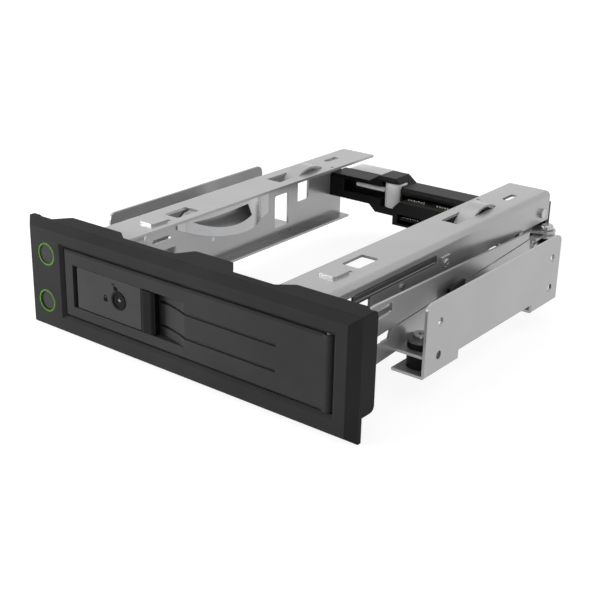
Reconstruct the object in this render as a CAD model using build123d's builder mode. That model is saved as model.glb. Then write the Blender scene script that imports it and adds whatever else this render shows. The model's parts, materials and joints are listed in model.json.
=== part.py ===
# Trayless hot swap drive cage: fills one 5.25 inch bay and takes one 3.5 inch drive.
# Frame: X to the right seen from the front, Y rearward, Z up, in millimetres.
# The origin is under the middle of the overall box, level with the bezel's lower edge.
import os
from math import cos, radians, sin

from build123d import *

os.makedirs("parts", exist_ok=True)

# The drive that the cage takes sets all the sizes that follow
drive_width = 101.6
drive_height = 26.1
drive_length = 147.0
drive_side_gap = 0.2
drive_top_gap = 0.3
drive_face_depth = 6.6
sheet = 1.0
wall_inner = drive_width / 2 + drive_side_gap
wall_outer = wall_inner + sheet

# Door opening in the bezel, and the hinge at its right end
hinge_x = wall_outer + 10.9
hinge_y = 2.4
opening_left = -wall_outer - 2.2
opening_right = hinge_x + 2.5
opening_low = 8.0
opening_high = opening_low + drive_height + drive_top_gap
opening_chamfer = 1.3

# Bezel
bezel_half = opening_right + 8.6
bezel_height = opening_high + 7.6
bay_half = bezel_half - 1.0
face_inset_side = 3.2
face_inset_top = 2.6
face_inset_bottom = 2.1
bevel_depth = 3.0
rim_depth = 4.6
front_wall = 2.4
bezel_wall = 2.2
side_skirt_depths = {-1: 7.0, 1: 11.0}
side_skirt_low = 8.4
skirt_top_radius = 2.2
skirt_low_radius = 2.0
tunnel_depth = 8.0
tunnel_wall = 1.8
catch_depth = 3.2
# top skirt's rear edge from left to right: share of the half width, depth
skirt_steps = ((-1.0, 4.6), (-0.86, 4.6), (-0.8, 10.6), (-0.459, 10.6), (-0.392, 6.8),
               (-0.068, 6.8), (-0.014, 13.3), (0.21, 13.3), (0.285, 6.6), (0.514, 6.6),
               (0.588, 11.0), (0.953, 11.0), (1.0, 7.5))
skirt_corner_radius = 1.6

# Door
door_gap = 0.5
door_front = 0.3
door_skin = 2.4
door_rim_depth = 5.5
door_rim_wall = 1.6
door_block_depth = 5.8
hinge_pin_radius = 1.0
running_clearance = 0.05
knuckle_radius = 2.1
door_rim_right = hinge_x - 12.9

# Latch lever in the door
latch_left = opening_left + 7.3
latch_right = opening_left + 45.7
latch_low = opening_low + 4.9
latch_high = opening_high - 5.4
latch_gap = 0.3
latch_front = 0.6
latch_plate = 2.0
latch_pocket = 3.6
latch_pivot_x = latch_left + 1.9
latch_pivot_y = 2.6
latch_pin_radius = 0.8
latch_boss_radius = 1.9
grip_width = 6.6
grip_thickness = 3.5
grip_radius = 1.7
hook_low = latch_low + 4.3
hook_high = latch_high - 4.2
hook_reach = 9.0
hook_thickness = 1.3
scoop_right = latch_right + 13.8
groove_width = 1.0
groove_depth = 1.0
groove_end = hinge_x - 18.9
groove_heights = (latch_high - 4.0, latch_low + 3.4)

# Key lock in the latch lever
lock_x = latch_left + 20.9
lock_z = latch_low + 8.4
lock_radius = 3.4
lock_bore = 2.6
lock_length = 6.0

# Lights, reset button and their board at the left of the bezel
upper_light = (-bezel_half + 11.5, bezel_height - 12.0)
lower_light = (-bezel_half + 10.6, 11.7)
ring_radius = 4.4
ring_bore = 3.6
button_radius = 3.45
button_travel = 1.0
board_front = 7.6
board_thickness = 1.6
board_posts = ((-bezel_half + 14.6, 20.8), (-bezel_half + 15.4, bezel_height - 5.5))
switch_front = 5.5

# Rear bar, board and connectors
connector_front = drive_face_depth + drive_length - 2.6
connector_width = 42.0
connector_left = wall_inner - 63.3
connector_low = 20.4
connector_high = 26.2
connector_top = 25.0
connector_bottom = 14.4
connector_corner = 3.0
contact_pitch = 1.27
bar_front = connector_front + 7.0
bar_rear = bar_front + 12.0
bar_top = 28.9
hump_top = bar_top + 3.2
bar_low_left = 18.6
bar_low_right = 13.3
bar_edge = 1.2
board_seat = bar_rear - 2.1
board_rear = board_seat + board_thickness
capacitor_x = connector_left - 6.0
capacitor_y = bar_front + 4.6
capacitor_radius = 4.8
capacitor_low = 18.9
capacitor_height = 10.9
lead_radius = 1.1
lead_z = 26.0
board_screw_z = 23.7
backplane_screw_x = (capacitor_x - 6.6, connector_left + connector_width + 3.3)
board_left = -wall_inner + 2.8
board_right = backplane_screw_x[1] + 3.6
power_right = backplane_screw_x[0] - 1.9
power_left = power_right - 23.5
power_pitch = 5.08
overall_depth = bar_rear + 10.0

# Drive rails
rail_front = 9.0
rail_rear = bar_rear - 3.5
rail_top = opening_high + 4.1
rail_low = 7.2
flange_inner = wall_inner - 17.3
floor_inner = wall_inner - 5.0
wall_front = 56.0
rail_top_bend = 2.2
rail_low_bend = 1.2
bead_depth = 0.4
hook_rise = 1.9
rail_screw_x = wall_inner - 5.0
rail_screw_z = rail_top - 2.55
wall_rivet_radius = 0.7
leaf_thickness = 0.5
leaf_top = rail_top - 3.2
leaf_rivet = (58.5, 29.0)

# Ejector crank behind the drive
crank_x = wall_outer + 2.3
crank_y = bar_front + 3.5
crank_arm = 9.5
crank_low = 23.1
crank_nose_x = crank_x - 15.8
crank_thickness = 1.1
crank_pin_radius = 1.5
bush_radius = 2.2
bush_low = 17.0
lug_high = 22.2

# Side arms, outboard of the rails
arm_x_front = wall_outer + 11.57
arm_y_front = 12.6
arm_rear = crank_y - 13.5
arm_slope = (arm_x_front - wall_outer - 2.05) / (arm_rear - arm_y_front)
arm_low = 14.1
arm_high = 23.3
arm_tab_reach = bay_half - 1.4
arm_screw_x = bezel_half - 4.5
arm_screw_z = (arm_low + arm_high) / 2
arm_rivet_y = crank_y - 7.0
arm_rivet_z = 18.0
left_arm_rear = 84.0

# Side brackets that fix to the bay
bracket_front = 41.0
bracket_rear = 134.8
bracket_top = 33.3
bracket_low = 10.8
foot_low = 7.2
front_foot_rear = 62.5
rear_foot_front = 115.0
foot_reach = 11.6
bay_screw_pitch_y = 79.2
bay_screw_pitch_z = 11.84
bay_screw_y = 89.1
bay_screw_z = 19.35
bay_screw_radius = 1.5

# Rubber dampers between brackets and cage
damper_x = bay_half - 6.2
damper_front_y = 48.5
damper_rear_y = 125.0
damper_radius = 4.6
damper_neck = 3.2
front_damper_high = 17.4
rear_damper_high = 14.0
washer_thickness = 1.0
rear_shelf_low = 10.6
rear_shelf_high = 11.6
screw_shank = 1.5
screw_head = 1.2
tab_rivet_ys = (damper_rear_y - 3.5, damper_rear_y + 3.5)
tab_rivet_z = 9.3

# Ejector link and the hinge arm that pulls it
link_low = 23.8
link_front = 15.0
link_front_top = opening_high + 0.6
link_rear = crank_y - 14.5
link_tail_low = 24.6
tail_thickness = 1.2
eye_low = opening_high - 6.4
eye_high = eye_low + 1.1
eye_radius = 2.2
rivet_radius = 1.0
open_pivot_radius = 2.0
hinge_arm_radius = 4.5
hinge_arm_angle = 132.0
hinge_arm_low = eye_high + 0.3
hinge_rivet_zs = (hinge_arm_low - 6.0, hinge_arm_low - 2.8)
pin_x = hinge_x + hinge_arm_radius * cos(radians(hinge_arm_angle))
pin_y = hinge_y + hinge_arm_radius * sin(radians(hinge_arm_angle))
crank_pin_x = crank_x - crank_arm


def at(depth):
    """Y coordinate of a place this far behind the bezel's front face."""
    return depth - overall_depth / 2


def across(depth):
    """Upright plane across the cage. A negative extrusion goes rearward."""
    return Plane.XZ.offset(-at(depth))


def beside(x):
    """Upright plane along the cage, with Y and Z as its axes and +X as its normal."""
    return Plane.YZ.offset(x)


def patch(a0, a1, b0, b1, mode=Mode.ADD):
    """Rectangle given by its two ranges in the sketch plane."""
    with Locations(((a0 + a1) / 2, (b0 + b1) / 2)):
        Rectangle(a1 - a0, b1 - b0, mode=mode)


def rounded_patch(a0, a1, b0, b1, radius, mode=Mode.ADD):
    """Rectangle with round corners, given by its two ranges."""
    with Locations(((a0 + a1) / 2, (b0 + b1) / 2)):
        RectangleRounded(a1 - a0, b1 - b0, radius, mode=mode)


def solid_box(x, y, z, mode=Mode.ADD):
    """Block given by its ranges in X, depth and Z."""
    with Locations(((x[0] + x[1]) / 2, at((y[0] + y[1]) / 2), (z[0] + z[1]) / 2)):
        Box(x[1] - x[0], y[1] - y[0], z[1] - z[0], mode=mode)


def rod(x, depth, low, high, radius, mode=Mode.ADD):
    """Upright cylinder."""
    with Locations((x, at(depth), (low + high) / 2)):
        Cylinder(radius, high - low, mode=mode)


def bolt_along_y(x, z, front, rear, radius, mode=Mode.ADD):
    """Cylinder that lies along Y."""
    with Locations(Location((x, at((front + rear) / 2), z), (90, 0, 0))):
        Cylinder(radius, rear - front, mode=mode)


def bolt_along_x(left, right, depth, z, radius, mode=Mode.ADD):
    """Cylinder that lies along X."""
    with Locations(Location(((left + right) / 2, at(depth), z), (0, 90, 0))):
        Cylinder(radius, right - left, mode=mode)


def save(piece, name):
    """Label a finished piece and write it under its own name."""
    piece.part.label = name
    export_step(piece.part, f"parts/{name}.step")


def arm_outer(depth):
    """X of the side arm's outer face, which closes in on the rail towards the rear."""
    return arm_x_front - arm_slope * (depth - arm_y_front)


# Front bezel: bevelled plate, stepped skirt behind it and a tunnel round the opening
with BuildPart() as front_bezel:
    with BuildSketch(across(0)):
        patch(-bezel_half + face_inset_side, bezel_half - face_inset_side,
              face_inset_bottom, bezel_height - face_inset_top)
    with BuildSketch(across(bevel_depth)):
        patch(-bezel_half, bezel_half, 0, bezel_height)
    loft()
    with BuildSketch(across(bevel_depth)):
        patch(-bezel_half, bezel_half, 0, bezel_height)
    extrude(amount=bevel_depth - rim_depth)
    with BuildSketch(Plane.XY.offset(bezel_height)):
        with BuildLine():
            steps = [(share * bezel_half, at(depth)) for share, depth in skirt_steps]
            Polyline((-bezel_half, at(bevel_depth)), *steps, (bezel_half, at(bevel_depth)),
                     close=True)
        make_face()
        deep_corners = vertices().filter_by_position(Axis.Y, at(10.0), at(14.0))
        fillet(deep_corners, radius=skirt_corner_radius)
    extrude(amount=-bezel_wall)
    for side, skirt_depth in side_skirt_depths.items():
        inner = bezel_half - bezel_wall
        with BuildSketch(beside(inner if side > 0 else -bezel_half)):
            patch(at(bevel_depth), at(skirt_depth), side_skirt_low, bezel_height)
            rear_corners = vertices().group_by(Axis.X)[-1].sort_by(Axis.Y)
            fillet(rear_corners[0], radius=skirt_low_radius)
            fillet(vertices().group_by(Axis.X)[-1].sort_by(Axis.Y)[-1], radius=skirt_top_radius)
        extrude(amount=bezel_wall)
    # the shell behind the face
    solid_box((-bezel_half + bezel_wall, bezel_half - bezel_wall), (front_wall, rim_depth),
              (bezel_wall, bezel_height - bezel_wall), mode=Mode.SUBTRACT)
    # tunnel round the door opening
    solid_box((opening_left - tunnel_wall, opening_right + tunnel_wall), (front_wall, tunnel_depth),
              (opening_low - tunnel_wall, opening_high + tunnel_wall))
    # bosses for the rails, above the opening
    for side in (-1, 1):
        x_near, x_far = sorted((side * (wall_outer - 12), side * (wall_outer + 2)))
        solid_box((x_near, x_far), (front_wall, rail_front),
                  (opening_high, bezel_height - bezel_wall))
        x_near, x_far = sorted((side * (bezel_half - 6.2), side * (bezel_half - bezel_wall)))
        solid_box((x_near, x_far), (front_wall, arm_y_front), (arm_low, arm_high))
    for rib_x in (-24.0, 0.0, 24.0):
        solid_box((rib_x - 0.6, rib_x + 0.6), (front_wall, 6.6),
                  (opening_high + tunnel_wall, bezel_height - bezel_wall))
    # door opening
    with BuildSketch(across(-1)):
        patch(opening_left, opening_right, opening_low, opening_high)
    extrude(amount=-(tunnel_depth + 3), mode=Mode.SUBTRACT)
    mouth = front_bezel.faces().sort_by(Axis.Y)[0].inner_wires()[0]
    chamfer(mouth.edges(), length=opening_chamfer)
    # slot behind the catch for the latch hook
    solid_box((opening_left - tunnel_wall - 1, opening_left + 1), (catch_depth, tunnel_depth + 1),
              (hook_low - 1, hook_high + 1), mode=Mode.SUBTRACT)
    # bore for the hinge pin, blind at both ends
    rod(hinge_x, hinge_y, opening_low - 1.5, opening_high + 1.5,
        hinge_pin_radius + running_clearance / 2, mode=Mode.SUBTRACT)
    # light and button holes
    for centre in (upper_light, lower_light):
        bolt_along_y(centre[0], centre[1], -1, front_wall + 1,
                     ring_radius + running_clearance / 2, mode=Mode.SUBTRACT)
    # screw holes in the bosses
    for side in (-1, 1):
        bolt_along_y(side * rail_screw_x, rail_screw_z, rail_front - 4, rail_front + 1, 1.0,
                     mode=Mode.SUBTRACT)
        bolt_along_y(side * arm_screw_x, arm_screw_z, arm_y_front - 6, arm_y_front + 1,
                     1.0, mode=Mode.SUBTRACT)
save(front_bezel, "front_bezel")

# Hinge pin, held in the bezel above and below the door
with BuildPart() as hinge_pin:
    rod(hinge_x, hinge_y, opening_low - 1.4, opening_high + 1.4, hinge_pin_radius)
save(hinge_pin, "hinge_pin")

# Door
door_left = opening_left + door_gap
door_low = opening_low + door_gap
door_high = opening_high - door_gap
door_skin_rear = door_front + door_skin
with BuildPart() as door_panel:
    with BuildSketch(across(door_front)):
        patch(door_left, hinge_x, door_low, door_high)
    extrude(amount=-door_skin)
    front_edges = door_panel.faces().sort_by(Axis.Y)[0].edges()
    chamfer(front_edges.sort_by(Axis.X)[:-1], length=0.9)
    with BuildSketch(Plane.XY.offset(door_low)):
        with Locations((hinge_x, at(hinge_y))):
            Circle(knuckle_radius)
    extrude(amount=door_high - door_low)
    # stiffening rim behind the skin
    with BuildSketch(across(door_skin_rear)):
        patch(door_left, door_rim_right, door_low, door_high)
        patch(door_left + door_rim_wall, door_rim_right - door_rim_wall,
              door_low + door_rim_wall, door_high - door_rim_wall, mode=Mode.SUBTRACT)
        for rib_x in (door_rim_right - 30, door_rim_right - 15):
            patch(rib_x - 0.6, rib_x + 0.6, door_low, door_high)
    extrude(amount=door_skin_rear - door_rim_depth)
    # block that carries the latch and forms the finger scoop
    solid_box((door_left, scoop_right + 3.5), (door_skin_rear, door_block_depth),
              (latch_low - 2.2, latch_high + 2.2))
    # recess for the latch lever, deeper round its pivot
    solid_box((latch_left - 2.0, latch_right + 0.3), (door_front - 1, latch_pocket),
              (latch_low, latch_high), mode=Mode.SUBTRACT)
    solid_box((latch_left - 2.0, latch_pivot_x + 3.0), (latch_pocket - 0.5, 5.0),
              (latch_low, latch_high), mode=Mode.SUBTRACT)
    # window behind the lock
    solid_box((lock_x - 4.8, lock_x + 4.8), (latch_pocket - 0.5, door_block_depth + 1),
              (lock_z - 5.6, lock_z + 5.6), mode=Mode.SUBTRACT)
    # finger scoop: a hollow that rises to the door's face at its right end
    with BuildSketch(Plane.XY.offset(latch_low)):
        with BuildLine():
            scoop_start = (latch_right - 0.5, at(latch_pocket))
            scoop_end = (scoop_right, at(door_front))
            ThreePointArc(scoop_start, (latch_right + 6.6, at(latch_pocket - 1.0)), scoop_end)
            Polyline(scoop_end, (scoop_right, at(door_front - 1)),
                     (latch_right - 0.5, at(door_front - 1)), scoop_start)
        make_face()
    extrude(amount=latch_high - latch_low, mode=Mode.SUBTRACT)
    # two grooves that run on from the scoop
    for groove_z in groove_heights:
        with BuildSketch(Plane.XY.offset(groove_z - groove_width / 2)):
            with BuildLine():
                scoop_start = (latch_right - 0.5, at(latch_pocket + groove_depth))
                scoop_end = (scoop_right, at(door_front + groove_depth))
                ThreePointArc(scoop_start,
                              (latch_right + 6.6, at(latch_pocket + groove_depth - 1.0)), scoop_end)
                Polyline(scoop_end, (groove_end, at(door_front + groove_depth)),
                         (groove_end, at(door_front - 1)), (latch_right - 0.5, at(door_front - 1)),
                         scoop_start)
            make_face()
        extrude(amount=groove_width, mode=Mode.SUBTRACT)
    # way out for the latch hook
    solid_box((door_left - 1, latch_pivot_x + 1.5), (3.1, door_block_depth + 1),
              (hook_low - 0.5, hook_high + 0.5), mode=Mode.SUBTRACT)
    # notch in the knuckle for the link's eye when the door stands open
    solid_box((hinge_x - 2.9, hinge_x + knuckle_radius + 1), (3.3, 6.0),
              (eye_low - 0.3, eye_high + 0.3), mode=Mode.SUBTRACT)
    # bores of the hinge pin and the latch pin
    rod(hinge_x, hinge_y, door_low - 1, door_high + 1,
        hinge_pin_radius + running_clearance, mode=Mode.SUBTRACT)
    rod(latch_pivot_x, latch_pivot_y, latch_low - 2.0, latch_high + 2.0,
        latch_pin_radius + running_clearance / 2, mode=Mode.SUBTRACT)
save(door_panel, "door_panel")

# Latch lever: face plate, pivot boss, grip bar and hook
with BuildPart() as latch_lever:
    with BuildSketch(across(latch_front)):
        rounded_patch(latch_left, latch_right, latch_low + latch_gap, latch_high - latch_gap, 0.6)
    extrude(amount=-latch_plate)
    rod(latch_pivot_x, latch_pivot_y, latch_low + latch_gap, latch_high - latch_gap,
        latch_boss_radius)
    with BuildSketch(Plane.XY.offset(latch_low + latch_gap)):
        rounded_patch(latch_right - grip_width, latch_right, at(0), at(grip_thickness),
                      grip_radius)
    extrude(amount=latch_high - latch_low - 2 * latch_gap)
    solid_box((latch_pivot_x - hook_reach, latch_pivot_x),
              (latch_pivot_y + 1.0, latch_pivot_y + 1.0 + hook_thickness), (hook_low, hook_high))
    rod(latch_pivot_x, latch_pivot_y, latch_low - 1, latch_high + 1,
        latch_pin_radius + running_clearance, mode=Mode.SUBTRACT)
    # room for the spring on the pivot
    rod(latch_pivot_x, latch_pivot_y, hook_high + 0.4, latch_high - 1.0, 1.75, mode=Mode.SUBTRACT)
    solid_box((latch_pivot_x - 3, latch_pivot_x + 1.75), (latch_pivot_y - 0.3, latch_pivot_y + 3),
              (hook_high + 0.4, latch_high - 1.0), mode=Mode.SUBTRACT)
    bolt_along_y(lock_x, lock_z, -1, latch_pocket, lock_radius + running_clearance / 2,
                 mode=Mode.SUBTRACT)
save(latch_lever, "latch_lever")

with BuildPart() as latch_pin:
    rod(latch_pivot_x, latch_pivot_y, latch_low - 1.9, latch_high + 1.9, latch_pin_radius)
save(latch_pin, "latch_pin")

# Torsion spring round the latch pin
spring_low = hook_high + 0.8
with BuildPart() as latch_spring:
    with BuildLine(Plane((latch_pivot_x, at(latch_pivot_y), spring_low))) as coil:
        Helix(pitch=0.62, height=1.9, radius=1.25)
    with BuildSketch(Plane(origin=coil.line @ 0, z_dir=coil.line % 0)):
        Circle(0.22)
    sweep()
save(latch_spring, "latch_spring")

# Key lock: barrel fixed in the lever, cylinder and cam that turn in it
with BuildPart() as lock_barrel:
    bolt_along_y(lock_x, lock_z, latch_front - 0.3, latch_front - 0.3 + lock_length, lock_radius)
    bolt_along_y(lock_x, lock_z, -1, lock_length + 2, lock_bore, mode=Mode.SUBTRACT)
save(lock_barrel, "lock_barrel")

lock_rear = latch_front - 0.3 + lock_length
with BuildPart() as lock_cylinder:
    bolt_along_y(lock_x, lock_z, latch_front, lock_rear + 0.3, lock_bore - running_clearance)
    with BuildSketch(across(latch_front - 0.2)):
        with Locations((lock_x, lock_z + 0.2)):
            RegularPolygon(radius=1.5, side_count=3, rotation=90)
    extrude(amount=-0.8, mode=Mode.SUBTRACT)
    bolt_along_y(lock_x, lock_z, lock_rear, lock_rear + 1.4, 1.0)
save(lock_cylinder, "lock_cylinder")

with BuildPart() as lock_cam:
    with BuildSketch(across(lock_rear + 0.3)):
        with Locations((lock_x, lock_z)):
            SlotOverall(8.0, 3.6)
            Circle(1.0, mode=Mode.SUBTRACT)
    extrude(amount=-1.0)
save(lock_cam, "lock_cam")

# Light rings, lens and reset button
for name, centre in (("activity_light_ring", upper_light), ("reset_light_ring", lower_light)):
    with BuildPart() as light_ring:
        bolt_along_y(centre[0], centre[1], 0, front_wall, ring_radius)
        bolt_along_y(centre[0], centre[1], front_wall, front_wall + 1.0, ring_radius + 0.4)
        bolt_along_y(centre[0], centre[1], -1, front_wall + 2, ring_bore, mode=Mode.SUBTRACT)
    save(light_ring, name)

with BuildPart() as activity_lens:
    bolt_along_y(*upper_light, 0.4, 2.0, ring_bore)
    bolt_along_y(*upper_light, 2.0, 3.4, ring_bore - 0.8)
save(activity_lens, "activity_lens")

with BuildPart() as reset_button:
    bolt_along_y(*lower_light, 0.5, 3.4, button_radius)
    bolt_along_y(*lower_light, 3.4, switch_front - button_travel - 0.1, 1.2)
    top_edge = reset_button.faces().sort_by(Axis.Y)[0].edges()
    fillet(top_edge, radius=0.4)
save(reset_button, "reset_button")

# Small board behind the lights, on two stud screws
with BuildPart() as front_board:
    solid_box((-bezel_half + 7.1, -bezel_half + 17.4),
              (board_front, board_front + board_thickness), (6.4, bezel_height - 3.4))
    for screw_x, screw_z in board_posts:
        bolt_along_y(screw_x, screw_z, board_front - 1, board_front + 3, 1.0, mode=Mode.SUBTRACT)
save(front_board, "front_board")

with BuildPart() as board_screws:
    for screw_x, screw_z in board_posts:
        bolt_along_y(screw_x, screw_z, front_wall, board_front, 1.9)
        bolt_along_y(screw_x, screw_z, board_front, board_front + board_thickness, 1.0)
        bolt_along_y(screw_x, screw_z, board_front + board_thickness,
                     board_front + board_thickness + 1.2, 1.8)
save(board_screws, "board_screws")

with BuildPart() as activity_led:
    solid_box((upper_light[0] - 1.8, upper_light[0] + 1.8), (board_front - 1.2, board_front),
              (upper_light[1] - 1.8, upper_light[1] + 1.8))
    bolt_along_y(*upper_light, board_front - 2.6, board_front - 1.2, 1.3)
save(activity_led, "activity_led")

with BuildPart() as reset_switch:
    solid_box((lower_light[0] - 3.0, lower_light[0] + 3.0), (switch_front + 0.4, board_front),
              (lower_light[1] - 3.0, lower_light[1] + 3.0))
    bolt_along_y(*lower_light, switch_front, switch_front + 0.4, 1.6)
save(reset_switch, "reset_switch")

# Drive rail: C section with windows, shared by both sides
pad_left = wall_inner - 13.5
pad_width = 7.1
with BuildPart() as rail_blank:
    with BuildSketch(beside(wall_inner)):
        patch(at(wall_front), at(rail_rear), rail_low, rail_top)
        patch(at(rail_front), at(wall_front), rail_top - 4, rail_top)
        patch(at(39.5), at(wall_front), rail_top - 12, rail_top)
        rounded_patch(at(39.5), at(wall_front + 1.5), rail_top - 17.5, rail_top - 8.5, 1.4)
        rounded_patch(at(30.0), at(80.5), rail_top - 7.1, rail_top - 3.6, 1.2, mode=Mode.SUBTRACT)
        rounded_patch(at(43.0), at(53.0), rail_top - 13.9, rail_top - 12.1, 0.85,
                      mode=Mode.SUBTRACT)
        rounded_patch(at(118.0), at(127.5), 12.3, 26.8, 1.0, mode=Mode.SUBTRACT)
    extrude(amount=sheet)
    with BuildSketch(Plane.XY.offset(rail_top)):
        patch(flange_inner, wall_outer, at(rail_front), at(rail_rear))
        rounded_patch(pad_left, pad_left + pad_width, at(43.0), at(55.2), 0.8, mode=Mode.SUBTRACT)
        patch(pad_left, pad_left + pad_width, at(38.4), at(39.4), mode=Mode.SUBTRACT)
        rounded_patch(pad_left + 0.7, pad_left + pad_width + 0.7, at(105.0), at(134.0), 0.8,
                      mode=Mode.SUBTRACT)
        rounded_patch(pad_left + 4.7, pad_left + 7.5, at(rail_rear - 22.8), at(rail_rear - 13.7),
                      1.3, mode=Mode.SUBTRACT)
        with Locations((flange_inner + 1.7, at(137.6))):
            Circle(0.7, mode=Mode.SUBTRACT)
    extrude(amount=-sheet)
    solid_box((floor_inner, wall_outer), (wall_front, rail_rear), (rail_low, rail_low + sheet))
    # long bead pressed into the floor
    with BuildSketch(Plane.XY.offset(rail_low + sheet)):
        rounded_patch(floor_inner + 1.6, floor_inner + 3.2, at(wall_front + 8), at(rail_rear - 10),
                      0.79)
    extrude(amount=-bead_depth, mode=Mode.SUBTRACT)
    # front tab for the screw into the bezel
    solid_box((wall_inner - 10.5, wall_outer), (rail_front, rail_front + sheet),
              (rail_top - 4, rail_top))
    outer_bends = rail_blank.edges().filter_by(Axis.Y).group_by(Axis.X)[-1].sort_by(Axis.Z)
    fillet(outer_bends[-1], radius=rail_top_bend)
    outer_bends = rail_blank.edges().filter_by(Axis.Y).group_by(Axis.X)[-1].sort_by(Axis.Z)
    fillet(outer_bends[0], radius=rail_low_bend)
    inner_bend = rail_blank.edges().filter_by(Axis.Y).filter_by_position(
        Axis.X, wall_inner - 0.01, wall_inner + 0.01).sort_by(Axis.Z)[-1]
    fillet(inner_bend, radius=rail_top_bend - sheet)
    # raised pad
    with BuildSketch(Plane.XY.offset(rail_top)):
        rounded_patch(pad_left, pad_left + pad_width, at(29.7), at(38.3), 1.0)
    extrude(amount=0.8)
    # lanced hook that rises from the flange and curls down over the drive
    with BuildSketch(beside(pad_left + 0.9)):
        with BuildLine():
            Spline((at(134.4), rail_top), (at(129.0), rail_top + hook_rise),
                   (at(121.0), rail_top + hook_rise - 0.6), (at(114.6), rail_top - 3.2))
            Line((at(114.6), rail_top - 3.2), (at(115.4), rail_top - 3.6))
            Spline((at(115.4), rail_top - 3.6), (at(121.4), rail_top + hook_rise - 1.4),
                   (at(129.0), rail_top + hook_rise - 0.8), (at(134.4), rail_top - sheet))
            Line((at(134.4), rail_top - sheet), (at(134.4), rail_top))
        make_face()
    extrude(amount=pad_width - 0.5)
    # holes for the screws at the front, on the wall and at the rear
    bolt_along_y(rail_screw_x, rail_screw_z, rail_front - 1, rail_front + 2, 1.0, mode=Mode.SUBTRACT)
    bolt_along_x(wall_inner - 1, wall_outer + 1, *leaf_rivet, 0.8, mode=Mode.SUBTRACT)
    for rivet_y in tab_rivet_ys:
        bolt_along_x(wall_inner - 1, wall_outer + 1, rivet_y, tab_rivet_z, wall_rivet_radius,
                     mode=Mode.SUBTRACT)

right_bar_screws = ((bar_front + 2.0, rail_top - 7.7), (bar_front + 6.8, arm_rivet_z))
left_bar_screws = ((bar_front + 4.0, 21.6), (bar_front + 4.0, 26.2))
left_rivet_y = left_arm_rear - 6
with BuildPart() as right_rail:
    add(rail_blank.part)
    with BuildSketch(beside(wall_inner - 1)):
        with BuildLine():
            notch = crank_y - 23.5
            Polyline((at(rail_rear + 1), 22.4), (at(notch + 1.5), 22.4), (at(notch), 23.9),
                     (at(notch), 25.4), (at(notch + 1.2), 26.8), (at(rail_rear + 1), 26.8),
                     close=True)
        make_face()
    extrude(amount=sheet + 2, mode=Mode.SUBTRACT)
    for screw_y, screw_z in right_bar_screws:
        bolt_along_x(wall_inner - 1, wall_outer + 1, screw_y, screw_z, 1.0, mode=Mode.SUBTRACT)
    bolt_along_x(wall_inner - 1, wall_outer + 1, arm_rivet_y, arm_rivet_z, rivet_radius,
                 mode=Mode.SUBTRACT)
save(right_rail, "right_rail")

with BuildPart() as left_rail:
    mirror(rail_blank.part, about=Plane.YZ)
    with BuildSketch(beside(-wall_outer - 1)):
        rounded_patch(at(rail_rear - 32.5), at(rail_rear - 24.8), 20.4, 30.7, 1.0)
    extrude(amount=sheet + 2, mode=Mode.SUBTRACT)
    for screw_y, screw_z in left_bar_screws:
        bolt_along_x(-wall_outer - 1, -wall_inner + 1, screw_y, screw_z, 1.0, mode=Mode.SUBTRACT)
    bolt_along_x(-wall_outer - 1, -wall_inner + 1, left_rivet_y, arm_rivet_z, rivet_radius,
                 mode=Mode.SUBTRACT)
save(left_rail, "left_rail")

# Leaf spring that bows inward from the wall and presses on the drive's side
with BuildPart() as right_leaf_spring:
    with BuildSketch(beside(wall_inner - 12)):
        with BuildLine():
            Spline((at(56.5), 27.4), (at(66.0), 23.6), (at(82.0), 20.2), (at(100.0), 18.8),
                   (at(113.0), 21.0))
            Polyline((at(113.0), 21.0), (at(113.0), 33.6), (at(101.0), 33.6))
            Polyline((at(101.0), 33.6), (at(98.0), leaf_top), (at(66.0), leaf_top))
            Spline((at(66.0), leaf_top), (at(60.0), 33.2), (at(56.5), 30.6))
            Line((at(56.5), 30.6), (at(56.5), 27.4))
        make_face()
        with BuildLine():
            Spline((at(63.5), 29.2), (at(78.0), 24.6), (at(97.0), 24.8))
            Line((at(97.0), 24.8), (at(93.5), 30.6))
            Spline((at(93.5), 30.6), (at(80.0), 30.6), (at(63.5), 29.2))
        make_face(mode=Mode.SUBTRACT)
    extrude(amount=12)
    with BuildSketch(Plane.XY.offset(10)):
        with BuildLine():
            Line((wall_inner, at(56.0)), (wall_inner, at(61.0)))
            Spline((wall_inner, at(61.0)), (wall_inner - 3.8, at(68.0)),
                   (wall_inner - 6.0, at(81.0)), (wall_inner - 4.2, at(97.0)),
                   (wall_inner, at(108.0)))
            Polyline((wall_inner, at(108.0)), (wall_inner, at(113.5)),
                     (wall_inner - leaf_thickness, at(113.5)),
                     (wall_inner - leaf_thickness, at(108.0)))
            Spline((wall_inner - leaf_thickness, at(108.0)),
                   (wall_inner - leaf_thickness - 4.2, at(97.0)),
                   (wall_inner - leaf_thickness - 6.0, at(81.0)),
                   (wall_inner - leaf_thickness - 3.8, at(67.6)),
                   (wall_inner - leaf_thickness, at(61.0)))
            Polyline((wall_inner - leaf_thickness, at(61.0)),
                     (wall_inner - leaf_thickness, at(56.0)), (wall_inner, at(56.0)))
        make_face()
    extrude(amount=26, mode=Mode.INTERSECT)
    bolt_along_x(wall_inner - 2, wall_inner + 1, *leaf_rivet, 0.8, mode=Mode.SUBTRACT)
save(right_leaf_spring, "right_leaf_spring")

with BuildPart() as left_leaf_spring:
    mirror(right_leaf_spring.part, about=Plane.YZ)
save(left_leaf_spring, "left_leaf_spring")

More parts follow.
